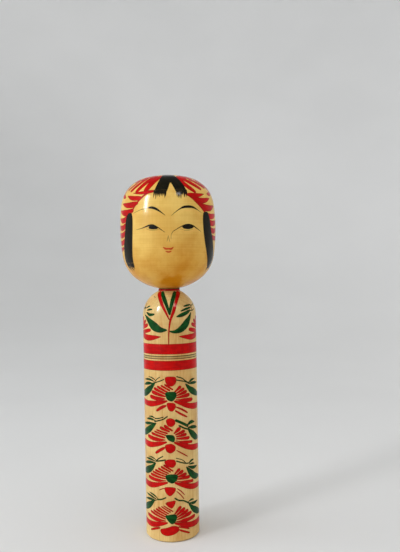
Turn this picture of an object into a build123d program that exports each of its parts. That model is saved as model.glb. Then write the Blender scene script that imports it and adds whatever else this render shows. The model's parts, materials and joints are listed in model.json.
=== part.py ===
from build123d import *
import os

# A lathe-turned kokeshi doll: a solid wooden head whose tenon plugs into a blind socket in the body.
# Both pieces are turned about the Z axis. The sole rests on Z = 0 and the face looks towards -Y.

# Driving dimensions, in millimetres
doll_height = 300.0
neck_height = 205.0  # top of the body's collar, which carries the head
barrel_radius = 22.4  # of the body
cheek_radius = 40.2  # the widest turn of the head

# Body
shoulder_height = neck_height - barrel_radius  # where the straight barrel meets the round shoulder
collar_radius = 9.0
collar_root_fillet = 0.8
collar_rim_chamfer = 0.3
sole_edge_fillet = 1.2
sole_ring_width = 4.5  # of the flat ring that the doll stands on
sole_hollow = 0.8  # the sole is dished by this much at its centre

# Slits that the claw chuck of the lathe leaves in the sole
claw_count = 4
claw_circle_radius = 8.0
claw_length = 5.0
claw_width = 1.2
claw_depth = 2.0

# Head: a flat crown, a tight temple, a long side, a tight jaw and a round chin, each an arc
cheek_height = 256.0
crown_radius = 75.0
temple_radius = 26.0
side_radius = 150.0
jaw_radius = 30.0
chin_radius = 45.5
chin_height = 204.3  # where the chin's arc would meet the axis, just below the collar's rim

# Neck joint
seat_gap = 0.05  # between the collar and the chin, so that the head can turn
tenon_radius = 5.5
tenon_length = 22.0
tenon_tip_chamfer = 0.8
running_clearance = 0.05  # round the tenon, so that it turns in the socket
socket_spare_depth = 2.0  # left below the tenon's tip
socket_radius = tenon_radius + running_clearance
socket_depth = tenon_length + socket_spare_depth
socket_mouth_chamfer = 0.6

os.makedirs("parts", exist_ok=True)

# Body: barrel, round shoulder and low collar, turned from one billet
with BuildPart() as body:
    with BuildSketch(Plane.XZ) as body_section:
        Rectangle(barrel_radius, shoulder_height, align=Align.MIN)
        with Locations((0, shoulder_height)):
            Circle(barrel_radius)
        Rectangle(collar_radius, neck_height, align=Align.MIN)
        Rectangle(barrel_radius, neck_height, align=Align.MIN, mode=Mode.INTERSECT)
        collar_root = body_section.vertices().sort_by(Axis.Y)[-3]
        fillet(collar_root, collar_root_fillet)
        collar_rim = body_section.vertices().group_by(Axis.Y)[-1].sort_by(Axis.X)[-1]
        chamfer(collar_rim, collar_rim_chamfer)
        sole_edge = body_section.vertices().group_by(Axis.Y)[0].sort_by(Axis.X)[-1]
        fillet(sole_edge, sole_edge_fillet)
    revolve(axis=Axis.Z)

    # The dished sole and the claw marks in it
    Cone(
        bottom_radius=barrel_radius - sole_edge_fillet - sole_ring_width,
        top_radius=0,
        height=sole_hollow,
        align=(Align.CENTER, Align.CENTER, Align.MIN),
        mode=Mode.SUBTRACT,
    )
    with BuildSketch(Plane.XY):
        with PolarLocations(claw_circle_radius, claw_count):
            Rectangle(claw_length, claw_width)
    extrude(amount=claw_depth, mode=Mode.SUBTRACT)

    # The blind socket for the head's tenon
    with Locations((0, 0, neck_height)):
        Hole(radius=socket_radius, depth=socket_depth)
    socket_mouth = body.edges().filter_by(GeomType.CIRCLE).group_by(Axis.Z)[-1].sort_by(SortBy.RADIUS)[0]
    chamfer(socket_mouth, socket_mouth_chamfer)

# Head: the chin, side and crown discs overlap to give its outline, and fillets round the jaw and the temple
chin_flat_height = neck_height + seat_gap

with BuildPart() as head:
    with BuildSketch(Plane.XZ) as head_section:
        with Locations((0, chin_height + chin_radius)):
            Circle(chin_radius)
        with Locations((0, cheek_height)):
            Rectangle(chin_radius, doll_height - cheek_height, align=Align.MIN)
        with Locations((cheek_radius - side_radius, cheek_height)):
            Circle(side_radius, mode=Mode.INTERSECT)
        with Locations((0, doll_height - crown_radius)):
            Circle(crown_radius, mode=Mode.INTERSECT)
        with Locations((0, chin_flat_height)):
            Rectangle(chin_radius, doll_height - chin_flat_height, align=Align.MIN, mode=Mode.INTERSECT)
        temple_corner = head_section.vertices().sort_by(Axis.Y)[-2]
        fillet(temple_corner, temple_radius)
        jaw_corner = head_section.vertices().sort_by(Axis.Y)[2]
        fillet(jaw_corner, jaw_radius)
    revolve(axis=Axis.Z)

    # The tenon, turned on the head itself
    with BuildSketch(Plane.XY.offset(chin_flat_height)):
        Circle(tenon_radius)
    extrude(amount=-tenon_length)
    chamfer(head.edges().group_by(Axis.Z)[0], tenon_tip_chamfer)

body.part.label = "body"
head.part.label = "head"

export_step(body.part, "parts/body.step")
export_step(head.part, "parts/head.step")
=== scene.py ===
import json
import math

import bpy
import numpy as np
from mathutils import Matrix, Vector
from mathutils.geometry import delaunay_2d_cdt
from mathutils.kdtree import KDTree


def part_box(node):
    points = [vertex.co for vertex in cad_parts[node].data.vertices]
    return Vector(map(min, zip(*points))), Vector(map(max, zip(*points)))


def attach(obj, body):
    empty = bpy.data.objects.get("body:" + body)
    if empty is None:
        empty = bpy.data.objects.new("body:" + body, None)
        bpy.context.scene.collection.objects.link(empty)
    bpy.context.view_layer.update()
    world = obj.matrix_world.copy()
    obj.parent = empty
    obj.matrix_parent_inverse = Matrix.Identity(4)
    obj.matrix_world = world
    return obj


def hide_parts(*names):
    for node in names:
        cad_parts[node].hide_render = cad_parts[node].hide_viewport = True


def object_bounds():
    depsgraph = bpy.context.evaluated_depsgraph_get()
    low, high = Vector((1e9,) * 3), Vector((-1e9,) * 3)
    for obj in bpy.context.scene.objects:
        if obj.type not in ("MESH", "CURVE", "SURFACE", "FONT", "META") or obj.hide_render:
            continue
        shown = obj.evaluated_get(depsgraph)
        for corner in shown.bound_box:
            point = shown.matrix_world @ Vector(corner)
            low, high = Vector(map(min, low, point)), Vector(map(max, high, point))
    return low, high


# A turned and painted kokeshi doll. Each of its two pieces is one closed mesh: the turned skin is meshed
# anew, with every brush stroke as faces of its own, and the sole, socket and tenon keep the frame's faces.
# The painter's and the wood's measures are in millimetres, and angles that are typed in are in degrees.
# Everything else is in metres and radians.

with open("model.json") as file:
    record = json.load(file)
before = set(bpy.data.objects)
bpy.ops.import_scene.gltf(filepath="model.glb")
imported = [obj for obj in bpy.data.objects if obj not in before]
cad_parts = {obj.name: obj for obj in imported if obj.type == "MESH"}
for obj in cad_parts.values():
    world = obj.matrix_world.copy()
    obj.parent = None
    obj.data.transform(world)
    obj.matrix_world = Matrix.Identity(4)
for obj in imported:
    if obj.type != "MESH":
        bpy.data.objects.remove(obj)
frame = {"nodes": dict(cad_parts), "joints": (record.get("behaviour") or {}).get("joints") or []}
cad_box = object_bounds()

MM = 0.001
TURN = 2 * math.pi
NECK = frame["joints"][0]["pos_m"][2]
BARREL_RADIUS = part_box("body")[1].x

WOOD, RED, GREEN, INK = range(4)


def columns(*values):
    """Points or vectors, one in a row, from their separate coordinates."""
    return np.stack(values, axis=1)


# Curves ------------------------


def cubic(knots, values, tangents, at):
    """The cubic curve through values at knots with these tangents, read at the places in at."""
    span = np.clip(np.searchsorted(knots, at) - 1, 0, len(knots) - 2)
    step = knots[span + 1] - knots[span]
    share = (at - knots[span]) / step
    if values.ndim > 1:
        step, share = step[:, None], share[:, None]
    start = values[span] * (1 + 2 * share) + tangents[span] * step * share
    end = values[span + 1] * (3 - 2 * share) - tangents[span + 1] * step * (1 - share)
    return start * (1 - share) ** 2 + end * share**2


def firm_tangents(knots, values):
    """Tangents that never overshoot, so that straight runs stay straight."""
    step = np.diff(knots)
    slope = np.diff(values) / step
    weight = (2 * step[1:] + step[:-1], step[1:] + 2 * step[:-1])
    same_way = slope[:-1] * slope[1:] > 0
    safe = (np.where(same_way, slope[:-1], 1), np.where(same_way, slope[1:], 1))
    mean = (weight[0] + weight[1]) / (weight[0] / safe[0] + weight[1] / safe[1])
    first = slope[0] + (slope[0] - slope[1]) * step[0] / (step[0] + step[1])
    last = slope[-1] + (slope[-1] - slope[-2]) * step[-1] / (step[-1] + step[-2])
    return np.concatenate([[first], np.where(same_way, mean, 0), [last]])


def flowing(points, count):
    """A flowing curve through a few points, as count evenly spaced samples."""
    knots = np.concatenate([[0], np.cumsum(np.linalg.norm(np.diff(points, axis=0), axis=1))])
    tangents = np.gradient(points, knots, axis=0)
    return cubic(knots, points, tangents, np.linspace(0, knots[-1], count))


# The turned skins ------------------------


class Skin:
    """The turned outside of a frame node, between a low and a high rim, unrolled to a flat strip.

    A strip point is (angle, climb). The angle is 0 at the face and grows towards +X. The climb is the way
    up the outline with each step divided by the radius there, so that shapes keep their form on the strip.
    """

    CLOSE = 0.005 * MM  # places nearer than this are on one ring
    FINE_STEP = 0.1 * MM
    RELIEF = 2.5 * MM  # more than the dish and the claw slits go up into the sole
    POLE = 0.7 * MM  # radius of the cap that closes a skin at its apex
    WHOLE_RING = 20  # points that make a level of the frame's mesh count as a whole ring
    NEAR_APEX = 100  # samples of the outline that hold the edge of the cap
    SAME_ANGLE = 0.01  # rim vertices nearer than this are one

    def __init__(self, node, above):
        self.mesh = frame["nodes"][node].data
        self.points = np.array([vertex.co for vertex in self.mesh.vertices], float)
        radius, height = self.reach(self.points), self.points[:, 2]
        self.low, self.high = height[height >= above].min(), height.max()
        self.low_rim = radius[abs(height - self.low) < self.CLOSE].max()
        self.high_rim = radius[abs(height - self.high) < self.CLOSE].max()
        self.closed = self.high_rim < self.CLOSE
        self.outside = self.is_outside(radius, height)
        self.trace_outline(*self.rings(radius, height))

    @staticmethod
    def reach(points):
        """How far points are from the axis."""
        return np.hypot(points[:, 0], points[:, 1])

    def is_outside(self, radius, height):
        """Whether places are on the skin proper, past both rims."""
        past_low = (radius > self.low_rim + self.CLOSE) | (height > self.low + self.RELIEF)
        return past_low & (radius > self.high_rim + self.CLOSE)

    def rim(self, radius, height):
        """The frame's own vertices on one rim, as angles in rising order."""
        reach = self.reach(self.points)
        on_rim = (abs(reach - radius) < self.CLOSE) & (abs(self.points[:, 2] - height) < self.CLOSE)
        angles = np.sort(np.arctan2(self.points[on_rim, 0], -self.points[on_rim, 1]))
        apart = np.diff(angles, append=angles[0] + TURN) > self.SAME_ANGLE
        return angles[apart]

    def rings(self, radius, height):
        """The radii and heights of the whole rings in the node's mesh, between its rims."""
        levels = np.round(height[self.outside] / self.CLOSE)
        _, ring, count = np.unique(levels, return_inverse=True, return_counts=True)
        whole = count >= self.WHOLE_RING
        ring_radius = (np.bincount(ring, radius[self.outside]) / count)[whole]
        ring_height = (np.bincount(ring, height[self.outside]) / count)[whole]
        ring_radius = np.concatenate([[self.low_rim], ring_radius, [self.high_rim]])
        ring_height = np.concatenate([[self.low], ring_height, [self.high]])
        return ring_radius, ring_height

    def trace_outline(self, ring_radius, ring_height):
        """Joins the rings with a smooth outline, from the low rim to the high one."""
        knots = np.concatenate([[0], np.cumsum(np.hypot(np.diff(ring_radius), np.diff(ring_height)))])
        self.way = np.append(np.arange(0, knots[-1], self.FINE_STEP), knots[-1])
        self.radius = cubic(knots, ring_radius, firm_tangents(knots, ring_radius), self.way)
        self.height = cubic(knots, ring_height, firm_tangents(knots, ring_height), self.way)
        self.out = np.gradient(self.height, self.way)
        self.up = -np.gradient(self.radius, self.way)
        steps = np.diff(self.way) / np.maximum((self.radius[1:] + self.radius[:-1]) / 2, self.CLOSE)
        self.climb = np.concatenate([[0], np.cumsum(steps)])
        self.top_climb = self.climb[-1]
        if self.closed:
            last = slice(-self.NEAR_APEX, None)
            self.top_climb = np.interp(-self.POLE, -self.radius[last], self.climb[last])

    def radius_at(self, climb):
        return np.interp(climb, self.climb, self.radius)

    def place(self, strip):
        """Where strip points are in the frame."""
        radius, height = self.radius_at(strip[:, 1]), np.interp(strip[:, 1], self.climb, self.height)
        return columns(radius * np.sin(strip[:, 0]), -radius * np.cos(strip[:, 0]), height)

    def outward(self, strip):
        """The skin's normals at strip points."""
        out, up = np.interp(strip[:, 1], self.climb, self.out), np.interp(strip[:, 1], self.climb, self.up)
        normals = columns(out * np.sin(strip[:, 0]), -out * np.cos(strip[:, 0]), up)
        return normals / np.linalg.norm(normals, axis=1)[:, None]

    def from_barrel(self, marks):
        """Strip points from millimetres across the barrel's front and millimetres above the sole."""
        climb = np.interp(marks[:, 1] * MM, self.height, self.climb)
        return columns(marks[:, 0] * MM / BARREL_RADIUS, climb)

    def from_crown(self, marks):
        """Strip points from degrees round from the face and millimetres down the skin from the crown."""
        climb = np.interp(self.way[-1] - marks[:, 1] * MM, self.way, self.climb)
        return columns(np.radians(marks[:, 0]), climb)


# Brush strokes ------------------------


class Stroke:
    """One stroke of a brush on a skin's strip: an outline round a spine."""

    def __init__(self, skin, dye, spine, outline, strength, closed=False):
        self.dye, self.spine, self.outline, self.closed = dye, spine, outline, closed
        self.strength = strength
        self.scale = skin.radius_at(spine[:, 1]) / MM
        steps = np.linalg.norm(np.diff(spine, axis=0), axis=1) * self.scale[1:]
        self.along = np.concatenate([[0], np.cumsum(steps)])

    def covers(self, points):
        """Which strip points the outline winds round."""
        near = ((points > self.outline.min(0)) & (points < self.outline.max(0))).all(1)
        places = points[near]
        start, end = self.outline, np.roll(self.outline, -1, axis=0)
        rising = (start[:, 1] <= places[:, 1:]) & (end[:, 1] > places[:, 1:])
        falling = (start[:, 1] > places[:, 1:]) & (end[:, 1] <= places[:, 1:])
        run = end - start
        side = run[:, 0] * (places[:, 1:] - start[:, 1]) - (places[:, :1] - start[:, 0]) * run[:, 1]
        winding = (rising & (side > 0)).sum(1) - (falling & (side < 0)).sum(1)
        near[near] = winding != 0
        return near

    def read(self, points):
        """How far along the stroke, how far to its side, how near its edge and how strong points are."""
        span, share, gap = nearest(self.spine, points)
        run = self.spine[span + 1] - self.spine[span]
        run = run / np.linalg.norm(run, axis=1)[:, None]

        def blended(values):
            return values[span] * (1 - share) + values[span + 1] * share

        side = (run[:, 0] * gap[:, 1] - run[:, 1] * gap[:, 0]) * blended(self.scale)
        to_edge = nearest(np.concatenate([self.outline, self.outline[:1]]), points)[2]
        depth = np.linalg.norm(to_edge, axis=1) * blended(self.scale)
        return blended(self.along), side, depth, blended(self.strength)


TINY = 1e-18  # stands for the squared length of a span that has none


def nearest(line, points):
    """For each point the nearest span of a line, the share of the way along it and the gap from there."""
    start, run = line[:-1], np.diff(line, axis=0)
    length = np.maximum((run**2).sum(1), TINY)
    offset = points[:, None, :] - start
    share = np.clip((offset * run).sum(2) / length, 0, 1)
    gap = offset - share[:, :, None] * run
    row, span = np.arange(len(points)), (gap**2).sum(2).argmin(1)
    return span, share[row, span], gap[row, span]


CAP_POINTS = 7  # on each round end of a stroke


def ribbon(spine, half):
    """The outline of a spine with a half-width at each point and round ends."""
    way = np.gradient(spine, axis=0)
    way = way / np.linalg.norm(way, axis=1)[:, None]
    side = columns(-way[:, 1], way[:, 0])
    left, right = spine + side * half[:, None], spine - side * half[:, None]
    turn = np.linspace(-math.pi / 2, math.pi / 2, CAP_POINTS)[:, None]
    end = spine[-1] + half[-1] * (np.cos(turn) * way[-1] + np.sin(turn) * side[-1])
    start = spine[0] - half[0] * (np.cos(turn) * way[0] + np.sin(turn) * side[0])
    return np.concatenate([right[1:-1], end, left[-2:0:-1], start])


def rounded(corners, rounds=3, cut=0.2):
    """A polygon with a share of each side cut from its corners, until they are round."""
    for _ in range(rounds):
        ahead = np.roll(corners, -1, axis=0)
        corners = columns(corners * (1 - cut) + ahead * cut, corners * cut + ahead * (1 - cut))
        corners = corners.reshape(-1, 2)
    return corners


class Brush:
    """A hand that lays strokes on one skin, in painting order, with a little unevenness."""

    SAMPLE_MM = 0.8
    FEWEST_SAMPLES = 7
    THINNEST_MM = 0.03
    BAND_SAMPLES = 144

    def __init__(self, skin, unroll, seed):
        self.skin, self.unroll = skin, unroll
        self.hand = np.random.default_rng(seed)
        self.strokes = []

    def spread(self, values, count):
        """Values given evenly along a stroke, at each of its samples."""
        values = np.atleast_1d(np.asarray(values, float))
        knots, samples = np.linspace(0, 1, len(values)), np.linspace(0, 1, count)
        if len(values) < 3:
            return np.interp(samples, knots, values)
        return cubic(knots, values, firm_tangents(knots, values), samples)

    def lay(self, dye, places, half, strength=1.0, unsteady=0.04):
        """Lays a stroke through the places, with its half-widths in millimetres given evenly along it."""
        line = self.unroll(np.array(places, float))
        length = np.linalg.norm(np.diff(line, axis=0), axis=1).sum()
        length *= self.skin.radius_at(line[:, 1].mean())
        count = max(self.FEWEST_SAMPLES, int(length / MM / self.SAMPLE_MM))
        wobble = self.spread(self.hand.normal(0, unsteady, max(3, count // 5)), count)
        spine = flowing(line, count)
        half = np.maximum(self.spread(half, count) * (1 + wobble), self.THINNEST_MM)
        outline = ribbon(spine, half * MM / self.skin.radius_at(spine[:, 1]))
        self.strokes.append(Stroke(self.skin, dye, spine, outline, self.spread(strength, count)))

    def dab(self, dye, corners, strength=1.0):
        """Fills a rounded patch with dye."""
        outline = rounded(self.unroll(np.array(corners, float)))
        middle = outline.mean(axis=0)
        far = outline[np.linalg.norm(outline - middle, axis=1).argmax()]
        spine = np.array([far * 0.6 + middle * 0.4, middle, middle * 1.6 - far * 0.6])
        self.strokes.append(Stroke(self.skin, dye, spine, outline, np.full(3, strength)))

    def band(self, dye, top, bottom, strength=1.0, unsteady=0.06):
        """Lays a band right round, held against the turning wood, between two heights in millimetres."""
        steps = np.arange(-3, self.BAND_SAMPLES + 4)
        angle = steps / self.BAND_SAMPLES * TURN - math.pi
        edges = []
        for edge in (bottom, top):
            height = np.full(len(angle), edge)
            for wave in range(1, 6):
                height += unsteady / wave * np.sin(wave * angle + self.hand.uniform(0, TURN))
            edges.append(self.skin.from_barrel(columns(angle * BARREL_RADIUS / MM, height)))
        outline = np.concatenate([edges[0], edges[1][::-1]])
        spine = (edges[0] + edges[1]) / 2
        load = np.full(len(angle), strength)
        self.strokes.append(Stroke(self.skin, dye, spine, outline, load, closed=True))


# Meshing ------------------------


class Strip:
    """The flat strip of a skin, cut along a seam at the back and filled with triangles."""

    TIGHT = 1e-5

    def __init__(self, skin, row, column, fewest, most):
        self.skin, self.row, self.column, self.fewest, self.most = skin, row, column, fewest, most
        self.low_ring = skin.rim(skin.low_rim, skin.low)
        self.high_ring = skin.rim(skin.high_rim, skin.high)
        if skin.closed:
            self.high_ring = (np.arange(fewest) / fewest - 0.5) * TURN
        self.points, self.edges = [], []
        self.add_loop(self.border())
        self.points.extend(self.filling())

    def seam(self, climb):
        """The angle where the strip begins, which leads from rim vertex to rim vertex."""
        share = np.asarray(climb) / self.skin.top_climb
        return self.low_ring[0] * (1 - share) + self.high_ring[0] * share

    def levels(self):
        """The climbs of the rings of filling points."""
        skin = self.skin
        top_way = np.interp(skin.top_climb, skin.climb, skin.way)
        rows = max(2, int(top_way / self.row))
        return np.interp(np.arange(1, rows) / rows * top_way, skin.way, skin.climb)

    def border(self):
        """The strip's edge, through the frame's own vertices on both rims."""
        levels = self.levels()
        left = columns(self.seam(levels), levels)
        low_angles = np.append(self.low_ring, self.low_ring[0] + TURN)
        low = columns(low_angles, np.zeros(len(low_angles)))
        high_angles = np.append(self.high_ring, self.high_ring[0] + TURN)
        high = columns(high_angles, np.full(len(high_angles), self.skin.top_climb))
        return np.concatenate([low, left + (TURN, 0), high[::-1], left[::-1]])

    def filling(self):
        """Rings of points, each staggered against the last, so that the triangles are even."""
        found = []
        for number, climb in enumerate(self.levels()):
            around = TURN * self.skin.radius_at(climb)
            count = int(np.clip(around / self.column, self.fewest, self.most))
            place = (np.arange(count) + 0.25 + 0.5 * (number % 2)) / count * TURN
            found.extend((self.seam(climb) + angle, climb) for angle in place)
        return found

    def add_loop(self, loop):
        start = len(self.points)
        self.points.extend(loop)
        ahead = list(range(start + 1, len(self.points))) + [start]
        self.edges.extend(zip(range(start, len(self.points)), ahead))

    def copies(self, stroke):
        """How far a stroke is carried round so that its part past the seam shows at the other side."""
        low, high = self.seam(0), self.seam(self.skin.top_climb)
        if stroke.closed:
            return [0]
        ahead = [TURN] if stroke.outline[:, 0].min() < max(low, high) else []
        behind = [-TURN] if stroke.outline[:, 0].max() > min(low, high) + TURN else []
        return [0] + ahead + behind

    def inside(self, places):
        """Whether places are on the strip."""
        past_seam = places[:, 0] - self.seam(places[:, 1])
        in_height = (places[:, 1] > 0) & (places[:, 1] < self.skin.top_climb)
        return in_height & (past_seam > 0) & (past_seam < TURN)

    def fill(self, strokes):
        """Fills the strip round all strokes. Returns points, triangles and each one's stroke, or -1."""
        for stroke in strokes:
            for turn in self.copies(stroke):
                self.add_loop(stroke.outline + (turn, 0))
                self.points.extend(stroke.spine[1:-1] + (turn, 0))
        points = [Vector(point) for point in self.points]
        filled = delaunay_2d_cdt(points, self.edges, [], 0, self.TIGHT, False)
        points, triangles = np.array(filled[0]), np.array(filled[2])
        centres = points[triangles].mean(axis=1)
        kept = self.inside(centres)
        triangles, centres = triangles[kept], centres[kept]
        owner = np.full(len(triangles), -1)
        for number, stroke in enumerate(strokes):
            for turn in self.copies(stroke):
                owner[stroke.covers(centres - (turn, 0))] = number
        return points, triangles, owner


STROKE_SPACING = 61.0  # millimetres between strokes in the streak pattern, so that no two look alike


def brush_marks(points, triangles, owner, strokes):
    """For each triangle corner, where it is on its stroke and how strong the dye is there."""
    marks, strength = np.zeros((len(triangles), 3, 3)), np.zeros((len(triangles), 3))
    for number, stroke in enumerate(strokes):
        owned = owner == number
        if owned.any():
            corners = points[triangles[owned]].reshape(-1, 2)
            turns = np.round((corners[:, 0] - stroke.spine[:, 0].mean()) / TURN) * (not stroke.closed)
            corners[:, 0] -= turns * TURN
            along, side, depth, load = stroke.read(corners)
            along = along + number * STROKE_SPACING
            marks[owned] = columns(along, side, depth).reshape(-1, 3, 3)
            strength[owned] = load.reshape(-1, 3)
    return marks.reshape(-1, 3), strength.ravel()


ON_EDGE = 1e-9


def capped(skin, points, triangles):
    """Places, triangles and corner normals of a skin, with a fan over its apex if it is closed."""
    places, normals = skin.place(points), skin.outward(points)
    corner_normals = normals[triangles].reshape(-1, 3)
    if not skin.closed:
        return places, triangles, corner_normals
    ring = np.flatnonzero(points[:, 1] > skin.top_climb - ON_EDGE)
    ring = ring[np.argsort(points[ring, 0])]
    apex = len(places)
    fan = np.array([(first, second, apex) for first, second in zip(ring, ring[1:])])
    places = np.concatenate([places, [(0, 0, skin.high)]])
    normals = np.concatenate([normals, [(0, 0, 1)]])
    corner_normals = np.concatenate([corner_normals, normals[fan].reshape(-1, 3)])
    return places, np.concatenate([triangles, fan]), corner_normals


def kept_faces(skin):
    """The frame's own faces inside the rims: the sole, the socket or the tenon."""
    mesh = skin.mesh
    triangles = np.array([face.vertices for face in mesh.polygons])
    normals = np.array([corner.vector for corner in mesh.corner_normals]).reshape(-1, 3, 3)
    kept = ~skin.outside[triangles].any(axis=1)
    return triangles[kept], normals[kept].reshape(-1, 3)


WELD = 0.002 * MM


def welded(points, triangles):
    """Joins points that lie on one another, and says which triangles are still whole."""
    tree = KDTree(len(points))
    for number, point in enumerate(points):
        tree.insert(point, number)
    tree.balance()
    first = np.array([min(found[1] for found in tree.find_range(point, WELD)) for point in points])
    used, renumbered = np.unique(first[triangles], return_inverse=True)
    triangles = renumbered.reshape(-1, 3)
    whole = (triangles != np.roll(triangles, 1, axis=1)).all(axis=1)
    return points[used], triangles, whole


def brushed_mesh(name, points, triangles, normals, dye, marks, strength, materials):
    """A mesh with a material on each triangle, and the brush marks at each corner for the dyes to read."""
    mesh = bpy.data.meshes.new(name)
    mesh.from_pydata(points.tolist(), [], triangles.tolist())
    for material in materials:
        mesh.materials.append(material)
    mesh.polygons.foreach_set("material_index", dye.astype(np.int32))
    mesh.polygons.foreach_set("use_smooth", np.ones(len(triangles), bool))
    brush = mesh.attributes.new("brush", "FLOAT_VECTOR", "CORNER")
    brush.data.foreach_set("vector", marks.astype(np.float32).ravel())
    load = mesh.attributes.new("load", "FLOAT", "CORNER")
    load.data.foreach_set("value", strength.astype(np.float32))
    mesh.normals_split_custom_set(normals.tolist())
    return mesh


def add_painted(name, node, skin, strip, strokes, materials):
    """Adds one piece that stands for a frame node, painted with these strokes."""
    strip_points, strip_triangles, owner = strip.fill(strokes)
    marks, strength = brush_marks(strip_points, strip_triangles, owner, strokes)
    places, triangles, normals = capped(skin, strip_points, strip_triangles)
    inner_triangles, inner_normals = kept_faces(skin)
    dyes = np.array([stroke.dye for stroke in strokes] + [WOOD])  # an owner of -1 picks the last
    bare = len(triangles) + len(inner_triangles) - len(owner)
    dye = np.concatenate([dyes[owner], np.full(bare, WOOD)])
    marks = np.concatenate([marks, np.zeros((bare * 3, 3))])
    strength = np.concatenate([strength, np.zeros(bare * 3)])
    points = np.concatenate([places, skin.points])
    triangles = np.concatenate([triangles, inner_triangles + len(places)])
    normals = np.concatenate([normals, inner_normals])
    points, triangles, whole = welded(points, triangles)
    corners = np.repeat(whole, 3)
    look = (normals[corners], dye[whole], marks[corners], strength[corners], materials)
    mesh = brushed_mesh(name, points, triangles[whole], *look)
    piece = bpy.data.objects.new(name, mesh)
    bpy.context.scene.collection.objects.link(piece)
    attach(piece, node)
    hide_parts(node)


# Materials ------------------------


def colour(red, green, blue):
    """A node colour from the 0 to 255 values of a paint chart."""
    shares = (np.array([red, green, blue]) / 255 + 0.055) / 1.055
    return (*(shares**2.4).tolist(), 1.0)


class Shader:
    """A material's nodes, built call by call. Each call returns the socket with its result."""

    def __init__(self, name):
        self.material = bpy.data.materials.new(name)
        self.material.use_nodes = True
        self.tree = self.material.node_tree
        self.tree.nodes.clear()

    def node(self, kind, inputs, outlet=0, **settings):
        made = self.tree.nodes.new("ShaderNode" + kind)
        for key, value in settings.items():
            setattr(made, key, value)
        for key, value in inputs.items():
            if isinstance(value, bpy.types.NodeSocket):
                self.tree.links.new(value, made.inputs[key])
            else:
                made.inputs[key].default_value = value
        return made.outputs[outlet] if len(made.outputs) else None

    def math(self, operation, first, second):
        return self.node("Math", {0: first, 1: second}, operation=operation)

    def add(self, first, second):
        return self.math("ADD", first, second)

    def times(self, first, second):
        return self.math("MULTIPLY", first, second)

    def fade(self, value, low, high, start=0.0, end=1.0):
        """Goes smoothly from start to end as value goes from low to high."""
        inputs = {"Value": value, "From Min": low, "From Max": high, "To Min": start, "To Max": end}
        return self.node("MapRange", inputs, interpolation_type="SMOOTHSTEP")

    def mix(self, share, first, second, blend="MIX"):
        inputs = {0: share, 6: first, 7: second}
        return self.node("Mix", inputs, outlet=2, data_type="RGBA", blend_type=blend)

    def shade(self, tint, amount):
        """A colour made darker or lighter by a factor."""
        return self.node("VectorMath", {0: tint, "Scale": amount}, operation="SCALE")

    def stretched(self, place, scale, shift=(0, 0, 0)):
        return self.node("Mapping", {"Vector": place, "Location": shift, "Scale": scale})

    def noise(self, place, scale, detail=2.0, roughness=0.5):
        """Noise with one scale, or with a scale for each direction."""
        if isinstance(scale, tuple):
            place, scale = self.stretched(place, scale), 1.0
        inputs = {"Vector": place, "Scale": scale, "Detail": detail, "Roughness": roughness}
        return self.node("TexNoise", inputs)

    def surface(self, **inputs):
        """Ends the material with one glossy surface."""
        named = {key.replace("_", " "): value for key, value in inputs.items()}
        made = self.node("BsdfPrincipled", named)
        self.node("OutputMaterial", {"Surface": made})
        return self.material


class Timber:
    """How one turned piece of wood looks: its colours, how its growth rings lie, its marks, its age and
    painted shade and light.
    """

    def __init__(self, name, pale, deep, age_and_shade_tint, pith, ring_gap, grain, lathe, aging, stains_and_painted_light):
        self.name, self.pale, self.deep, self.age_and_shade_tint = name, colour(*pale), colour(*deep), colour(*age_and_shade_tint)
        self.pith, self.ring_gap, self.grain, self.lathe = pith, ring_gap, grain, lathe
        self.aging, self.stains_and_painted_light = aging, stains_and_painted_light


BODY_TIMBER = Timber(
    "body", pale=(232, 204, 138), deep=(202, 150, 80), age_and_shade_tint=(226, 168, 100),
    pith=(9, -31), ring_gap=2.3, grain=0.8, lathe=0.35,
    aging=((205, 0), (0.0, 0.1)),
    stains_and_painted_light=[
        ((-6, -21, 96), 30, 0.12), ((9, -20, 138), 26, 0.32),
        ((12, -18, 168), 24, 0.3), ((4, -22, 3), 12, 0.2),
    ],
)
HEAD_TIMBER = Timber(
    "head", pale=(242, 204, 112), deep=(214, 158, 66), age_and_shade_tint=(226, 180, 64),
    pith=(-24, 38), ring_gap=2.8, grain=0.2, lathe=0.9,
    # Darker and more amber towards the chin: partly age, partly painted shade under the chin.
    aging=((262, 208), (0.0, 0.75)),
    stains_and_painted_light=[
        ((15, -36, 228), 26, 0.22), ((24, -30, 252), 22, 0.12),
        # A darker patch low on the chin above the neck, then painted light that keeps the lit left jaw
        # pale.
        ((2, -24, 207), 13, 0.85), ((-25, -28, 224), 26, -0.3),
    ],
)


WAVE_UNIT = TURN / 20  # one period of Blender's wave texture at a scale of 1


def late_wood(shader, timber, along):
    """The dark side of each growth ring."""
    inputs = {
        "Vector": along, "Scale": WAVE_UNIT / timber.ring_gap,
        "Distortion": 5.0, "Detail": 3.0, "Detail Scale": 0.55, "Detail Roughness": 0.45,
    }
    looks = {"wave_type": "RINGS", "rings_direction": "Z", "wave_profile": "SAW"}
    return shader.math("POWER", shader.node("TexWave", inputs, outlet="Fac", **looks), 3.0)


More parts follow.
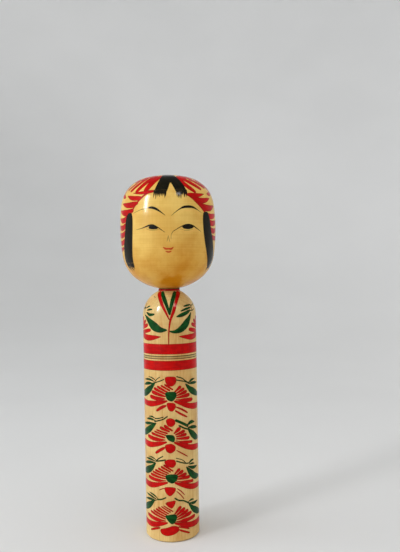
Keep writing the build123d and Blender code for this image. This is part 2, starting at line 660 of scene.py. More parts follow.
def wood_look(shader, timber):
    """The grain of a turned piece. Returns its colour, its darkness, its roughness and its height."""
    metres = shader.node("TexCoord", {}, outlet="Object")
    place = shader.node("VectorMath", {0: metres, "Scale": 1 / MM}, operation="SCALE")
    along = shader.stretched(place, (1, 1, 0.055), (timber.pith[0], timber.pith[1], 0))
    fibre = shader.noise(along, 1.5, 5.0, 0.62)
    pores = shader.fade(shader.noise(place, (2.6, 2.6, 0.16), 1.0), 0.64, 0.76)
    mottle = shader.noise(place, 0.06, 3.0)
    lathe = shader.noise(place, (0.012, 0.012, 1.15), 4.0, 0.6)
    grain = shader.times(shader.fade(fibre, 0.3, 0.72), 0.6)
    grain = shader.add(grain, shader.times(late_wood(shader, timber, along), 0.35))
    grain = shader.add(grain, shader.times(pores, 0.3))
    grain = shader.add(shader.times(grain, timber.grain), 0.35 * (1 - timber.grain))
    darkness = shader.add(grain, shader.fade(mottle, 0.32, 0.68, -0.22, 0.22))
    turning_marks = 0.09 * timber.lathe
    darkness = shader.add(darkness, shader.fade(lathe, 0.35, 0.65, -turning_marks, turning_marks))
    tint = shader.mix(darkness, timber.pale, timber.deep)
    tint = shader.mix(age_and_painted_light(shader, timber, place, mottle), tint, timber.age_and_shade_tint, "MULTIPLY")
    roughness = shader.fade(fibre, 0.2, 0.8, 0.36, 0.5)
    relief = shader.times(fibre, 0.5)
    relief = shader.add(relief, shader.times(lathe, timber.lathe))
    return tint, darkness, roughness, relief


def age_and_painted_light(shader, timber, place, mottle):
    """How far the wood is darkened: ever more between two heights, and in a few soft stains and patches.
    On the head, the darkening towards the chin is partly age and partly painted shade, and one pale
    patch is painted light on the lit left jaw.

    A patch is a centre, a reach and a strength. A strength below 0 keeps a patch pale.
    """
    height = shader.node("SeparateXYZ", {0: place}, outlet="Z")
    heights, shares = timber.aging
    amount = shader.fade(height, *heights, *shares)
    amount = shader.times(amount, shader.fade(mottle, 0.3, 0.7, 0.8, 1.1))
    ragged = shader.noise(place, (0.1, 0.1, 0.16), 3.0)
    ragged = shader.fade(ragged, 0.3, 0.7, 0.7, 1.3)
    for centre, reach, strength in timber.stains_and_painted_light:
        distance = shader.node("VectorMath", {0: place, 1: centre}, outlet="Value", operation="DISTANCE")
        distance = shader.times(distance, ragged)
        amount = shader.add(amount, shader.fade(distance, 0.0, reach, strength, 0.0))
    return amount


def waxed(shader, tint, roughness, relief):
    """A thin coat of carnauba wax, polished on the lathe, over the wood or the dye."""
    grain = shader.node("Bump", {"Strength": 0.25, "Distance": 0.03 * MM, "Height": relief})
    polish = shader.node("Bump", {"Strength": 0.1, "Distance": 0.03 * MM, "Height": relief})
    return shader.surface(
        Base_Color=tint, Roughness=roughness, Normal=grain, Specular_IOR_Level=0.025,
        Coat_Weight=1.0, Coat_IOR=1.14, Coat_Roughness=0.12, Coat_Normal=polish,
    )


def bare_wood(timber):
    shader = Shader(timber.name + "_wood")
    tint, _, roughness, relief = wood_look(shader, timber)
    return waxed(shader, tint, roughness, relief)


def dyed_wood(timber, name, thin, full, pooled):
    """Water dye brushed on bare wood: streaked along the stroke, thin where dry, dark at its edges."""
    shader = Shader(timber.name + "_" + name)
    tint, darkness, roughness, relief = wood_look(shader, timber)
    marks = shader.node("Attribute", {}, outlet="Vector", attribute_name="brush", attribute_type="GEOMETRY")
    load = shader.node("Attribute", {}, outlet="Fac", attribute_name="load", attribute_type="GEOMETRY")
    depth = shader.node("SeparateXYZ", {0: marks}, outlet="Z")
    hairs = shader.noise(marks, (0.07, 2.4, 0), 3.0, 0.6)
    blots = shader.noise(marks, (0.16, 0.5, 0))
    cover = shader.add(load, shader.fade(hairs, 0.3, 0.75, 0.16, -0.02))
    cover = shader.node("Clamp", {"Value": cover})
    cover = shader.times(cover, shader.fade(depth, 0.0, 0.06, 0.8, 1.0))
    dye = shader.mix(shader.fade(blots, 0.3, 0.7), colour(*full), colour(*thin))
    pooling = shader.fade(depth, 0.15, 0.6, 0.75, 0.0)
    pooling = shader.times(pooling, shader.fade(load, 0.75, 1.0))
    dye = shader.mix(pooling, dye, colour(*pooled))
    dye = shader.shade(dye, shader.fade(darkness, 0.0, 1.0, 1.08, 0.82))
    return waxed(shader, shader.mix(cover, tint, dye), roughness, relief)


def piece_materials(timber):
    """The materials of one piece, in the order WOOD, RED, GREEN, INK."""
    return [
        bare_wood(timber),
        dyed_wood(timber, "red_dye", (202, 9, 5), (178, 4, 3), (128, 1, 3)),
        dyed_wood(timber, "green_dye", (10, 80, 26), (4, 48, 14), (4, 25, 8)),
        dyed_wood(timber, "black_ink", (30, 27, 15), (18, 16, 9), (10, 9, 5)),
    ]


def paper():
    """Matt white studio paper with a faint tooth, which glows a little towards its top and its right:
    painted light.
    """
    shader = Shader("studio_paper")
    place = shader.node("TexCoord", {}, outlet="Object")
    tooth = shader.noise(place, 900.0, 3.0)
    cloud = shader.noise(place, 2.0, 2.0)
    tint = shader.mix(shader.fade(cloud, 0.3, 0.7), colour(226, 226, 225), colour(222, 222, 221))
    bump = shader.node("Bump", {"Strength": 0.1, "Distance": 0.05 * MM, "Height": tooth})
    # Painted light: the backdrop glows more towards its top and its right.
    rise = shader.node("VectorMath", {0: place, 1: (1, 0, 1.3)}, outlet="Value", operation="DOT_PRODUCT")
    glow = shader.fade(rise, -0.6, 1.6, 0.0, 0.15)
    return shader.surface(
        Base_Color=tint, Roughness=0.9, Normal=bump,
        Emission_Color=(1.0, 1.0, 1.0, 1.0), Emission_Strength=glow,
    )


# Studio ------------------------

FLOOR_RADIUS = 0.8
BEND_RADIUS = 2.4
WALL_TOP = 3.2
STUDIO_SIDES = 96


def add_backdrop():
    """A floor that bends up into a round wall, so that it is plain from every side."""
    flat = np.linspace(0.05, FLOOR_RADIUS, 12)
    bend = np.linspace(0, math.pi / 2, 17)[1:]
    radius = np.concatenate([flat, FLOOR_RADIUS + BEND_RADIUS * np.sin(bend)])
    height = np.concatenate([0 * flat, BEND_RADIUS * (1 - np.cos(bend))])
    radius, height = np.append(radius, radius[-1]), np.append(height, WALL_TOP)
    floor = cad_box[0].z - 0.1 * MM
    angle = np.arange(STUDIO_SIDES) / STUDIO_SIDES * TURN
    points = [(0, 0, floor)]
    points += [(r * math.cos(a), r * math.sin(a), floor + h) for r, h in zip(radius, height) for a in angle]
    around = [(side, (side + 1) % STUDIO_SIDES) for side in range(STUDIO_SIDES)]
    faces = [(0, 1 + here, 1 + ahead) for here, ahead in around]
    for ring in range(len(radius) - 1):
        low, high = 1 + ring * STUDIO_SIDES, 1 + (ring + 1) * STUDIO_SIDES
        faces += [(low + here, high + here, high + ahead, low + ahead) for here, ahead in around]
    mesh = bpy.data.meshes.new("backdrop")
    mesh.from_pydata(points, [], faces)
    mesh.shade_smooth()
    mesh.materials.append(paper())
    backdrop = bpy.data.objects.new("backdrop", mesh)
    bpy.context.scene.collection.objects.link(backdrop)


def add_light(name, azimuth, elevation, distance, width, height, power, tint, lit=True, mirrored=True):
    """A soft rectangle of light that faces the head, seen from it at this azimuth and elevation in degrees.

    It lights surfaces, shows in their polish, or does both.
    """
    turn, rise = math.radians(azimuth), math.radians(elevation)
    low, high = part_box("head")
    target = Vector((0, 0, (low.z + high.z) / 2))
    way = Vector((math.sin(turn) * math.cos(rise), -math.cos(turn) * math.cos(rise), math.sin(rise)))
    data = bpy.data.lights.new(name, "AREA")
    data.shape = "RECTANGLE"
    data.size, data.size_y = width, height
    data.energy, data.color = power, tint
    light = bpy.data.objects.new(name, data)
    light.location = target + way * distance
    light.rotation_euler = way.to_track_quat("Z", "Y").to_euler()
    light.visible_camera = False
    light.visible_diffuse = lit
    light.visible_glossy = mirrored
    bpy.context.scene.collection.objects.link(light)


def add_lights():
    # name, azimuth, elevation, distance, width, height, power, tint
    add_light("window", -56, 23, 2.4, 0.45, 1.15, 12.8, (0.97, 1.0, 1.04), mirrored=False)
    add_light("window_glint", -54, 24, 2.4, 0.38, 0.85, 165.0, (0.98, 1.0, 1.02), lit=False)
    add_light("left_room", -83, 28, 2.9, 2.2, 0.8, 25.0, (0.97, 1.0, 1.02), mirrored=False)
    add_light("right_room", 84, 5, 2.2, 1.4, 1.4, 6.5, (1.0, 0.95, 0.84), mirrored=False)
    add_light("right_glint", 31, 41, 2.2, 0.4, 0.4, 20.0, (1.0, 0.97, 0.93), lit=False)
    add_light("ceiling", 12, 76, 1.8, 1.2, 1.2, 10.5, (1.0, 0.99, 0.97), mirrored=False)
    world = bpy.data.worlds.new("room")
    world.use_nodes = True
    background = world.node_tree.nodes["Background"].inputs
    background["Color"].default_value = (0.95, 0.97, 1.0, 1.0)
    background["Strength"].default_value = 0.22
    bpy.context.scene.world = world


# The camera, fitted to the photo
EYE_DISTANCE = 0.512
EYE_HEIGHT = 0.2133
TURN_RIGHT = math.radians(2.944)
TILT_UP = math.radians(0.19)
ROLL = math.radians(-0.97)
LENS_MM = 39.456


def add_camera():
    """A camera at head height that looks a little past the doll's side."""
    data = bpy.data.cameras.new("camera")
    data.lens = LENS_MM
    camera = bpy.data.objects.new("camera", data)
    aim = Matrix.Rotation(-TURN_RIGHT, 4, "Z") @ Matrix.Rotation(math.pi / 2 + TILT_UP, 4, "X")
    aim = aim @ Matrix.Rotation(ROLL, 4, "Z")
    camera.matrix_world = Matrix.Translation((0, -EYE_DISTANCE, EYE_HEIGHT)) @ aim
    bpy.context.scene.collection.objects.link(camera)
    bpy.context.scene.camera = camera


# Painting the body ------------------------
# Places are (millimetres across the front, millimetres above the sole). Lists run in painting order.

PETAL = (0.35, 0.75, 0.95, 1.0, 0.85)
POINTED_TIP = (0.5, 0.9, 1.0, 0.95, 0.7, 0.15)
PRESSED = (0.6, 1.0, 0.95, 0.65, 0.15)
LEAF = (0.25, 0.7, 1.0, 1.0, 0.7, 0.25)
LIFTED = (0.7, 1.0, 1.0, 0.75)

FLOWERS = [{
    "centre": (0, 117.5),
    "left": [(-5.4, 10.4), (-8.6, 9.6), (-11.7, 8.6), (-15, 7), (-17.5, 4), (-19.5, 0), (-35, -5.2)],
    "right": [(8.5, 8.5), (11.5, 6.5), (14, 4), (17, 0.8), (20.5, -3.6), (33, -10.2)],
    "heart": [(-5.3, 121.7), (4.3, 121.9), (4.9, 117.5), (1, 113.4), (-3.5, 115.3)],
    "top": [(-4.7, 134.2), (4.5, 134), (4.8, 129), (1.6, 125.8), (-2.5, 126.3), (-4.7, 130)],
    "bottom": [(-4.3, 113.2), (3.2, 112.8), (4.2, 109), (1.2, 105.4), (-2.2, 106.5)],
    "sprays": [
        (1.3, [(-4.5, 110.5), (-8, 109), (-12, 106.4)]),
        (0.8, [(4.2, 109.3), (9, 107), (14, 103.8)]),
        (0.9, [(3.6, 106.2), (8, 103.4), (13.5, 100.4)]),
    ],
    "stems": [
        (0.45, [(-5.5, 131.8), (-9, 130.3), (-15, 128.5)]),
        (0.35, [(-9, 133.5), (-11, 132.3), (-13.5, 130)]),
        (0.5, [(5, 133.8), (9.5, 132.2), (13, 129.6), (17, 127.4)]),
        (0.5, [(4.5, 131.2), (8.5, 130.2), (12, 129.3), (15.5, 127.6)]),
    ],
    "leaves": [
        (0.55, [(-12.5, 130.5), (-16.5, 132.5), (-21, 133.3)]),
        (0.9, [(-14, 129.7), (-20, 131), (-27, 130.4)]),
        (1.2, [(-15.5, 128.2), (-22, 127.6), (-29, 125.8)]),
        (2.9, [(-14, 128.5), (-19.5, 123.3), (-26, 119.5), (-36, 117)]),
        (1.0, [(15.5, 128), (19.5, 129.8), (24, 130.4)]),
        (1.2, [(15.5, 127.2), (21.5, 127.2), (28.5, 126.6)]),
        (2.6, [(13, 127), (18, 122.2), (25, 118.6), (34, 115.5)]),
    ],
}, {
    "centre": (-0.8, 84.3),
    "left": [
        (-5.4, 10.4), (-9, 8.8), (-12.2, 6.4), (-14.4, 5), (-17.7, 3.2), (-22.7, 0.2), (-33, -5.5),
    ],
    "right": [(8.3, 8.2), (12.3, 5.2), (14, 2.2), (17, -1.2), (20.3, -5.0), (33, -11)],
    "heart": [(-5, 87.2), (1.5, 87), (3.1, 84), (1.9, 80.5), (-2.6, 82.4), (-4.5, 85)],
    "top": [(-4.9, 99), (-1, 100.9), (3.1, 99), (3.4, 95.5), (0.5, 93.1), (-3.2, 94)],
    "bottom": [(-6, 79), (0, 80.2), (3.4, 77.5), (2.9, 74), (-1, 71.6), (-4.7, 73.4)],
    "sprays": [
        (1.3, [(-6, 76.6), (-9.5, 74.6), (-13.5, 72)]),
        (0.5, [(4, 74.2), (8.5, 71.4), (13.5, 68.2)]),
    ],
    "stems": [
        (0.55, [(-3.3, 101.8), (-6.5, 99.6), (-10, 98.4), (-14.5, 97.2)]),
        (0.45, [(-6.5, 101.3), (-10, 100.2), (-14, 99.6)]),
        (1.15, [(4, 98.4), (8, 96.4), (14, 93)]),
        (0.7, [(6.5, 94), (11, 91.5), (15, 90)]),
    ],
    "leaves": [
        (0.65, [(-13.5, 99.8), (-17.5, 100.9), (-21.5, 100.5)]),
        (0.95, [(-13.5, 98), (-19, 98.8), (-25.5, 98.1)]),
        (1.25, [(-15, 95.8), (-22, 94.8), (-30, 93.6)]),
        (2.9, [(-13.5, 95.8), (-20, 90.8), (-27, 87), (-36, 84)]),
        (1.4, [(13.5, 93.6), (18, 95.5), (22.5, 94.9)]),
        (1.4, [(14.5, 91.5), (20, 91), (27, 89.6)]),
        (2.7, [(14.5, 90.5), (18.5, 86.5), (23, 82.8), (31, 80)]),
    ],
}, {
    "centre": (-0.7, 51.7),
    "left": [
        (-6.3, 11), (-8.8, 9.6), (-11.3, 8), (-14.3, 6.3),
        (-17, 4.5), (-19.3, 2.2), (-22.6, -0.6), (-33, -6),
    ],
    "right": [(7.2, 7.8), (10.2, 5.8), (13.2, 2.8), (16.7, -0.2), (20.6, -4.4), (33, -10)],
    "heart": [(-6.2, 53.8), (-3, 55.2), (3, 55.2), (5, 53.5), (3.6, 49.5), (0, 47.3), (-4.2, 49.5)],
    "top": [(-6.6, 65.6), (-3, 67.4), (2.6, 67), (3.6, 63), (1, 60), (-3, 61), (-5.6, 63)],
    "bottom": [(-7, 44.6), (-2, 45.2), (3, 44.2), (2.6, 41), (-2, 36.8), (-5.7, 40)],
    "sprays": [
        (0.45, [(-6, 44), (-8.5, 43.2), (-11, 42)]),
        (0.45, [(4, 43.4), (7, 41), (10, 37.6)]),
        (0.45, [(3.5, 41.2), (6.4, 38.4), (9.5, 34.5)]),
    ],
    "stems": [
        (0.6, [(-5.5, 66.7), (-9, 65.9), (-13.5, 65)]),
        (0.5, [(-7.5, 69.5), (-11, 67.5), (-14, 65)]),
        (0.55, [(3.8, 65.6), (8, 64), (12, 62.8), (15.5, 62.4)]),
        (0.35, [(3.5, 68), (9, 65.8), (11.5, 63.5)]),
    ],
    "leaves": [
        (0.6, [(-13, 65.8), (-18, 67.6), (-23, 67.5)]),
        (0.9, [(-14, 64.8), (-20, 65.8), (-27, 65.3)]),
        (1.2, [(-14.5, 63.8), (-21.5, 63), (-30, 60.8)]),
        (2.8, [(-14.5, 63.2), (-19, 58.8), (-25, 55.8), (-34, 53)]),
        (0.9, [(14.5, 62.2), (17.5, 64), (20.8, 64.4)]),
        (0.9, [(15, 61.3), (18, 61.5), (21.5, 60.8)]),
        (1.4, [(14, 60), (19, 58), (26, 57.8)]),
        (2.7, [(12.5, 59.5), (16.5, 54.6), (21, 50.8), (31, 48.3)]),
    ],
}, {
    "centre": (-1.3, 19.2),
    "left": [
        (-6.4, 10.5), (-8.4, 9.8), (-11.4, 8.8), (-13.6, 7.2),
        (-16.4, 5.6), (-19.8, 4.1), (-24.3, 0.6), (-33, -5.2),
    ],
    "right": [(8.3, 9.8), (11.6, 8), (14.8, 5.8), (18.3, 3.1), (22.8, -0.9), (34, -6.6)],
    "heart": [(-6.9, 21.8), (-2, 22.7), (2.2, 23.1), (3.8, 20.5), (2, 16), (-1, 14.6), (-4.1, 17.4)],
    "top": [(-7.1, 32.3), (2.9, 34.5), (2, 30.5), (-0.5, 27.3), (-3.2, 28.4)],
    "bottom": [
        (-11.2, 10.5), (-5, 12), (0, 13.9), (4.7, 12.8), (5.2, 9.2), (1.5, 6.6), (-5, 5), (-10.2, 6.8),
    ],
    "sprays": [
        (0.9, [(-11, 11.4), (-15, 10.2), (-20.5, 8)]),
        (0.8, [(5, 12.4), (9, 11.3), (13.8, 9.4)]),
        (0.9, [(5, 10), (9.5, 8), (14, 6)]),
    ],
    "stems": [
        (0.6, [(-5.5, 36.3), (-9, 34.7), (-13, 34)]),
        (0.65, [(2, 35.7), (5, 33.8), (9, 33), (12, 31.4), (15, 29.5)]),
    ],
    "leaves": [
        (0.75, [(-12, 34.6), (-16.5, 37), (-22.5, 38.2)]),
        (0.9, [(-13, 33.8), (-20, 35.6), (-28, 36.2)]),
        (1.1, [(-14, 33), (-21, 33), (-29.5, 31.4)]),
        (2.6, [(-16, 33), (-21, 28.8), (-27, 25.5), (-36, 22.5)]),
        (0.8, [(13.5, 31.2), (17, 32.2), (20, 31.7)]),
        (1.2, [(14.5, 30), (20, 28.8), (26, 29)]),
        (2.6, [(14.5, 29), (19, 24.4), (24.5, 21), (33, 17.5)]),
    ],
}]

ARM_CENTRE = (37.5, 172.5)
ARM_DAB = [(-4.5, 16.5), (4.5, 16.3), (4.6, 11.5), (1.4, 8.4), (-2.5, 9)]
ARM_HEART = [(-5.2, 4.2), (4.4, 4.4), (4.9, 0), (1, -4.1), (-3.5, -2.2)]
ARM_PETALS_DOWN = [(-2, 11), (-5, 9.6), (-8, 7.6), (-11, 5.4), (-15, 2.8), (-19, -0.6), (-30, -6)]
ARM_PETALS_FRONT = [(5, 10.6), (9.5, 9.4), (14, 6.6), (17, 3.4), (20.5, -0.8), (30, -6.3)]

NECKLINE = [
    (GREEN, (1.1, 1.6, 1.6, 1.4, 0.8),
     [(-12.5, 202.4), (-8, 199.8), (-4.5, 195.5), (-2, 190.5), (-0.2, 184.8)]),
    (GREEN, (1.3, 1.7, 1.7, 1.4, 0.9),
     [(10.5, 202.2), (6.2, 199.6), (3, 195), (1.4, 190.5), (0.1, 184.5)]),
    (RED, (1.2, 1.6, 1.5, 1.4, 1.2, 0.9, 0.5),
     [(-18.5, 202.4), (-13.7, 200), (-9.3, 196), (-6, 191), (-3.1, 186), (-0.4, 180.2)]),
    (RED, (1.4, 1.8, 1.6, 1.4, 1.3, 1.2, 0.9, 0.65, 0.5, 0.4),
     [(17.5, 202.4), (12, 200), (7.7, 196), (5, 191), (2.9, 185.5), (0.9, 180.5), (-0.2, 175.5),
      (-0.8, 170), (-1.1, 160.6)]),
]

SASH_BANDS = [(160.3, 151.9), (146.8, 138.8)]
SASH_LINES = [(150.6, 149.9), (148.6, 148.0)]
SASH_WASH = (149.85, 148.65)
# The ink band right under the chin is partly a dark collar line and partly painted shade of the chin.
NECK_BANDS_AND_SHADE = [(RED, 204.5, 203.0), (INK, 204.9, 204.3)]

SLEEVES = [
    ((0.8, 2.4, 3.3, 2.6, 0.6), [(-24, 183), (-18.3, 178.4), (-13, 174.3), (-8, 171.9), (-2.6, 171.6)]),
    ((0.3, 0.75, 0.6), [(-24.5, 189.3), (-22.2, 190.2), (-19.5, 190.9)]),
    ((0.4, 0.85, 0.6), [(-22.5, 187.5), (-19.5, 188.1), (-16.3, 188.3)]),
    ((0.6, 1.25, 0.8), [(-22.3, 185.6), (-18, 184), (-13.6, 184.3)]),
    ((0.4, 0.7, 0.4), [(-30, 188.8), (-27.5, 189.4), (-24.5, 189.2)]),
    ((0.5, 0.5, 0.4), [(-27, 193), (-26.5, 188), (-25, 183)]),
    ((0.5, 2.0, 3.1, 2.8, 1.6, 0.6),
     [(20.3, 185), (16.8, 179.4), (12.3, 174.2), (7.8, 171.2), (3.5, 170.1), (0, 170.5)]),
    ((0.5, 0.85, 0.5), [(13.5, 190.5), (17.5, 191), (21.8, 191.6)]),
    ((0.5, 0.95, 0.6), [(9.8, 186.7), (15, 188.2), (21, 189.3)]),
    ((0.6, 1.6, 1.5, 0.7), [(6, 182.3), (10, 183.4), (15.5, 185.4), (19.5, 187)]),
    ((0.4, 0.4, 0.3), [(19, 186.8), (23, 186.8), (27, 188)]),
    ((0.4, 0.4, 0.3), [(21, 191.2), (25, 191), (30, 192.5)]),
    ((0.4, 0.4, 0.3), [(22.5, 191), (22.3, 189), (22, 187)]),
]
WOOD_FLECK = [(-21, 198.8), (-19, 198.3), (-17, 197.9)]

ROOT_MM = 4.9
PETAL_GAP_MM = 0.45
PETAL_SAMPLES = 7
PETAL_HALF_MM = (0.45, 1.7)
BIG_PETAL_MM = 2.5
TIP_SHARE = 0.85
LAST_SAGS_MM = (0.6, 2.0)
CROWDING = 1.08  # how far a petal may outgrow its narrower side


def scaled(shape, half):
    return [share * half for share in shape]


def petal_lines(tips, first, last, lift):
    """The spines of a fan of petals, which grow from roots round the heart. The last ones sag."""
    angles = np.radians(np.linspace(first, last, len(tips)))
    reach = ROOT_MM * (1 + lift * np.clip(1 - np.arange(len(tips)) / 2, 0, 1))
    tips, roots = np.array(tips, float), columns(reach * np.cos(angles), reach * np.sin(angles))
    middles = (roots + tips) / 2
    middles[-2:, 1] -= LAST_SAGS_MM
    return np.stack([flowing(np.array(line), PETAL_SAMPLES) for line in zip(roots, middles, tips)])


def petal_halves(lines, biggest):
    """Half-widths for a fan of petals that part them by narrow gaps. The last petal is the biggest."""
    way = lines[:, -1] - lines[:, 0]
    way = way / np.linalg.norm(way, axis=1)[:, None]
    apart = np.diff(lines, axis=0)
    room = abs(apart[..., 0] * way[:-1, None, 1] - apart[..., 1] * way[:-1, None, 0]) / 2
    room[-1] = 2 * room[-1] - biggest - PETAL_GAP_MM / 2
    before, after = np.concatenate([room[:1], room]), np.concatenate([room, room[-1:]])
    room = np.minimum((before + after) / 2, CROWDING * np.minimum(before, after))
    halves = np.clip(room - PETAL_GAP_MM / 2, *PETAL_HALF_MM)
    halves[:, -1] *= TIP_SHARE
    halves[-1] = biggest
    return halves


def petals(brush, centre, tips, first, last, longest=PETAL, lift=0.0):
    """A fan of petals round a heart, between two angles. A lift moves the first roots outwards."""
    lines = petal_lines(tips, first, last, lift)
    biggest = brush.spread(scaled(longest, BIG_PETAL_MM), PETAL_SAMPLES)
    for line, half in zip(lines, petal_halves(lines, biggest)):
        line[-1] -= (line[-1] - line[-2]) / np.linalg.norm(line[-1] - line[-2]) * half[-1]
        brush.lay(RED, line + centre, half)


def paint_flower(brush, flower):
    centre = np.array(flower["centre"])
    petals(brush, centre, flower["left"], 78, 222, lift=0.28)
    petals(brush, centre, flower["right"], 52, -48)
    for half, places in flower["sprays"]:
        brush.lay(RED, places, scaled(LIFTED, half))
    brush.dab(RED, flower["top"])
    brush.dab(RED, flower["bottom"])
    brush.dab(GREEN, flower["heart"])
    for half, places in flower["stems"]:
        brush.lay(GREEN, places, half)
    for half, places in flower["leaves"]:
        brush.lay(GREEN, places, scaled(LEAF, half))


def paint_arm_flower(brush, side):
    """A flower on the upper arm, whose petals reach round to the front."""
    centre = np.array(ARM_CENTRE) * (side, 1)
    front = np.array(ARM_PETALS_FRONT) * (-side, 1)
    behind = np.array(ARM_PETALS_DOWN) * (-side, 1)
    petals(brush, centre, front, 90 + side * 17, 90 + side * 152, POINTED_TIP)
    petals(brush, centre, behind, 90 - side * 17, 90 - side * 135)
    brush.dab(RED, np.array(ARM_DAB) + centre)
    brush.dab(GREEN, np.array(ARM_HEART) + centre)


def paint_sash(brush):
    for top, bottom in SASH_BANDS:
        brush.band(RED, top, bottom)
    brush.band(GREEN, *SASH_WASH, strength=0.25, unsteady=0.02)
    for top, bottom in SASH_LINES:
        brush.band(INK, top, bottom, unsteady=0.02)


def paint_body(brush):
    for side in (-1, 1):
        paint_arm_flower(brush, side)
    for flower in FLOWERS:
        paint_flower(brush, flower)
    for half, places in SLEEVES:
        brush.lay(GREEN, places, half)
    for dye, half, places in NECKLINE:
        brush.lay(dye, places, half)
    paint_sash(brush)
    # Collar bands: the ink one is partly painted shade under the chin.
    for dye, top, bottom in NECK_BANDS_AND_SHADE:
        brush.band(dye, top, bottom, unsteady=0.02)
    brush.lay(INK, WOOD_FLECK, (0.15, 0.5, 0.2), strength=0.5)


# Painting the head ------------------------
# Places are (degrees round from the face, millimetres down the skin from the crown).

FORELOCK = [
    [(-60, 4), (-28, 8), (-15, 14), (-10, 22), (-11.5, 30), (-14, 38), (-17.2, 45.8), (-9, 46.6),
     (-1.3, 45.8), (1.6, 40), (4.2, 34.6), (7.5, 40), (10.6, 45.6), (17, 46), (24.6, 44.8), (22.2, 38),
     (18, 30), (14, 22), (18, 14), (32, 8), (60, 4)],
]
# First place, last place and start of the hairs
FRINGES = [(-16.3, -1.9, 45.2), (11.0, 23.8, 44.8)]

FACE_EDGES = [
    (0.8, [(-16.5, 43.8), (-26, 45.8), (-34, 49.8), (-41, 54.4), (-47.5, 61)]),
    (1.0, [(22.5, 46), (31, 49.8), (38, 53.8), (45, 57.8), (50, 61)]),
]
BLUNT = (0.6, 0.95, 1.0, 0.95, 0.75)
PARTED_STROKES = [
    (2.9, [(-13, 24), (-18, 30), (-22, 35), (-27.5, 42.4)]),
    (2.6, [(-22, 24), (-28, 30), (-33, 35), (-41.5, 42.6)]),
    (2.1, [(-35, 25), (-40, 30.5), (-44.5, 35), (-53, 41)]),
    (1.6, [(-48, 27), (-53, 34), (-62, 39.5)]),
    (2.2, [(17, 27), (21, 33), (27, 38.8), (35.5, 43.6)]),
    (2.6, [(20, 24), (27, 29.5), (36, 34.8), (47.5, 40)]),
    (2.1, [(34, 24.5), (43, 30), (51, 34.5), (59, 37.8)]),
    (1.8, [(54, 28), (60, 34), (68, 38.5)]),
]
HAIR_STROKES = [
    (1.6, [(-17, 43.8), (-25, 44.4), (-34, 44.6), (-47, 44)]),
    (2.1, [(-34, 48.8), (-41, 48.8), (-48, 48), (-58, 45.6)]),
    (1.6, [(-64, 46.5), (-70, 45), (-80, 42)]),
    (2.5, [(-38.5, 52.8), (-46, 53.8), (-55, 53.6), (-69, 51.4)]),
    (2.7, [(-45.5, 58.5), (-52, 59.6), (-62, 59.4), (-77, 56.8)]),
    (2.4, [(-52, 63), (-60, 65.2), (-67, 65.4), (-79, 63)]),
    (2.4, [(-57, 69), (-64, 71.2), (-71, 71.2), (-83, 69)]),
    (2.3, [(-59, 75), (-66, 77.2), (-74, 77.2), (-86, 75)]),
    (2.1, [(-62, 81.5), (-69, 83.4), (-77, 83.4), (-88, 81.4)]),
    (1.6, [(-68, 87.6), (-74, 88.6), (-80, 88.4), (-92, 86.6)]),
    (1.9, [(23.5, 46.8), (32, 47), (40, 46.6), (51, 45)]),
    (1.6, [(60, 44.5), (68, 43.5), (78, 41)]),
    (2.4, [(33, 49.6), (39, 50.9), (47, 50.8), (62, 48)]),
    (2.8, [(41, 54.2), (48, 56.2), (57, 56.4), (74, 53.6)]),
    (2.5, [(50, 61.5), (57, 63), (66, 62.6), (80, 60)]),
    (2.5, [(55, 67), (62, 68.5), (70, 68), (84, 65.4)]),
    (2.3, [(58, 73), (65, 74.6), (73, 74), (86, 71.4)]),
    (2.1, [(64, 79), (70, 80.4), (77, 80), (89, 77.6)]),
]

SIDE_LOCKS = [
    [(-51.5, 59.8), (-45.8, 60.4), (-44, 66), (-44.6, 76), (-46.6, 86), (-49.2, 97), (-50.6, 104.6),
     (-55, 104.4), (-60, 102.8), (-66, 103.2), (-70.6, 101.8), (-70, 95), (-67, 87), (-62.6, 80),
     (-60, 74), (-58.6, 68), (-56, 62)],
    [(54, 59.4), (45.2, 60.2), (43.8, 67), (44.8, 76), (47.8, 84.5), (52, 91.5), (56.8, 98),
     (61.4, 103.4), (66, 105.4), (72, 105), (78, 102.4), (76, 94), (71.5, 88), (67, 82), (62.5, 77),
     (59.5, 71), (58, 65)],
]
LOCK_FRINGES = [(-69, -52, 102.5), (65, 74.5, 103.2)]

EYEBROWS = [
    ((0.1, 0.16, 0.2), [(-43, 60.8), (-33, 58.6), (-23, 57.4)]),
    ((0.5, 1.0, 0.95, 0.65, 0.35, 0.12),
     [(-22.3, 57.4), (-18.5, 57.3), (-14, 58.3), (-10, 60), (-6.5, 61.8), (-3, 63.8)]),
    ((0.12, 0.25, 0.4, 0.95, 1.05, 0.8, 0.3, 0.12),
     [(4, 64), (8, 61.6), (13, 59), (18, 57.3), (24, 56.7), (30, 57), (36, 58.7), (42, 60.8)]),
]
EYELIDS = [
    ((0.1, 0.2, 0.4, 0.65, 0.7, 0.45, 0.3, 0.12),
     [(-39, 74.2), (-31, 73.2), (-26, 72.2), (-21.5, 71.3), (-17.5, 71.2), (-12.5, 72.6), (-8, 74.8),
      (-3.5, 77)]),
    ((0.12, 0.22, 0.28, 0.4, 0.65, 0.7, 0.5, 0.3, 0.12),
     [(4, 78.5), (5, 76.8), (9, 74.9), (13.5, 73), (18, 71.6), (23.5, 71), (29.5, 71.8), (34.5, 73.7),
      (40.5, 76)]),
]
PUPILS = [
    [(-22.3, 72.5), (-20, 71.2), (-14.5, 71.2), (-11, 73), (-11.8, 74.3), (-17, 74.6), (-22, 74)],
    [(15.6, 72.6), (18.5, 71.2), (25, 70.9), (30.5, 72), (29.5, 73.6), (23.5, 74.7), (17.5, 74.2)],
]
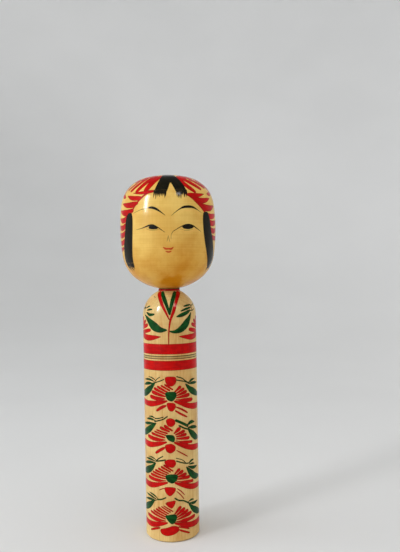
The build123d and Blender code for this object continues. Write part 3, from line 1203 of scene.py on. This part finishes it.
FAINT_LINES = [
    (0.14, [(-25.5, 73.8), (-18, 75.3), (-10, 74.6)]),
    (0.14, [(13, 74.4), (21, 75.6), (29, 74.6)]),
    (0.2, [(0.2, 79.5), (0.8, 82), (1.8, 84.8)]),
    (0.2, [(0, 79.5), (-0.7, 82), (-1.6, 84.2)]),
    (0.18, [(4.5, 77), (3.4, 79), (3.2, 82.5)]),
]
MOUTH = [
    ((0.3, 0.85, 0.7, 0.85, 0.3), [(-6, 88.7), (-3, 89.9), (0, 89.8), (3, 90), (5.6, 88.8)]),
    ((0.3, 0.65, 0.3), [(-3.2, 91.8), (0, 92.4), (3.4, 91.8)]),
]

CROWN_STROKES = 17
CROWN_SPAN = (72, 288)
TEMPLE_STROKES = (-64, -46, -30, 32, 46, 62)
FRINGE_HAIRS = 11


def paint_crown(brush):
    """Red strokes that radiate over the back of the head, from round a dab at the apex."""
    for number, angle in enumerate(np.linspace(*CROWN_SPAN, CROWN_STROKES)):
        start = 9 + 5 * (number % 2)
        bend = brush.hand.normal(0, 1.2)
        end = 44 + brush.hand.normal(0, 1.0)
        middle = (start + end) / 2
        brush.lay(RED, [(angle, start), (angle + bend, middle), (angle, end)], (0.5, 1.3, 2.2, 2.6, 1.6))
    for angle in TEMPLE_STROKES:
        brush.lay(RED, [(angle, 9), (angle * 0.95, 18), (angle * 0.9, 30)], (0.7, 1.9, 2.3))
    brush.dab(RED, [(angle, 3.2) for angle in range(-180, 180, 30)])


def paint_fringe(brush, first, last, start):
    """The feathered end of a lock: fine hairs of ink."""
    for place in np.linspace(first, last, FRINGE_HAIRS):
        lean = brush.hand.normal(0, 0.4)
        end = start + brush.hand.uniform(2.5, 5.8)
        hair = [(place, start - 2), (place, start), (place + lean, end)]
        brush.lay(INK, hair, (0.5, 0.45, 0.08), unsteady=0)


def paint_face(brush):
    for half, places in EYEBROWS + EYELIDS:
        brush.lay(INK, places, half, unsteady=0)
    for corners in PUPILS:
        brush.dab(INK, corners)
    for half, places in FAINT_LINES:
        brush.lay(INK, places, (0.1, half, 0.1), strength=0.55, unsteady=0)
    for half, places in MOUTH:
        brush.lay(RED, places, half, strength=0.75, unsteady=0)


def paint_head(brush):
    paint_crown(brush)
    for half, places in FACE_EDGES:
        brush.lay(RED, places, half)
    for half, places in PARTED_STROKES:
        brush.lay(RED, places, scaled(BLUNT, half))
    for half, places in HAIR_STROKES:
        brush.lay(RED, places, scaled(PRESSED, half))
    for corners in FORELOCK + SIDE_LOCKS:
        brush.dab(INK, corners)
    for first, last, start in FRINGES + LOCK_FRINGES:
        paint_fringe(brush, first, last, start)
    paint_face(brush)


# The doll ------------------------


def add_body():
    skin = Skin("body", 0)
    brush = Brush(skin, skin.from_barrel, seed=3)
    paint_body(brush)
    strip = Strip(skin, row=2.2 * MM, column=0.9 * MM, fewest=40, most=150)
    add_painted("painted_body", "body", skin, strip, brush.strokes, piece_materials(BODY_TIMBER))


def add_head():
    skin = Skin("head", NECK)
    brush = Brush(skin, skin.from_crown, seed=8)
    paint_head(brush)
    strip = Strip(skin, row=1.4 * MM, column=1.4 * MM, fewest=24, most=180)
    add_painted("painted_head", "head", skin, strip, brush.strokes, piece_materials(HEAD_TIMBER))


add_body()
add_head()
add_backdrop()
add_lights()
add_camera()
bpy.context.scene.view_settings.view_transform = "Standard"
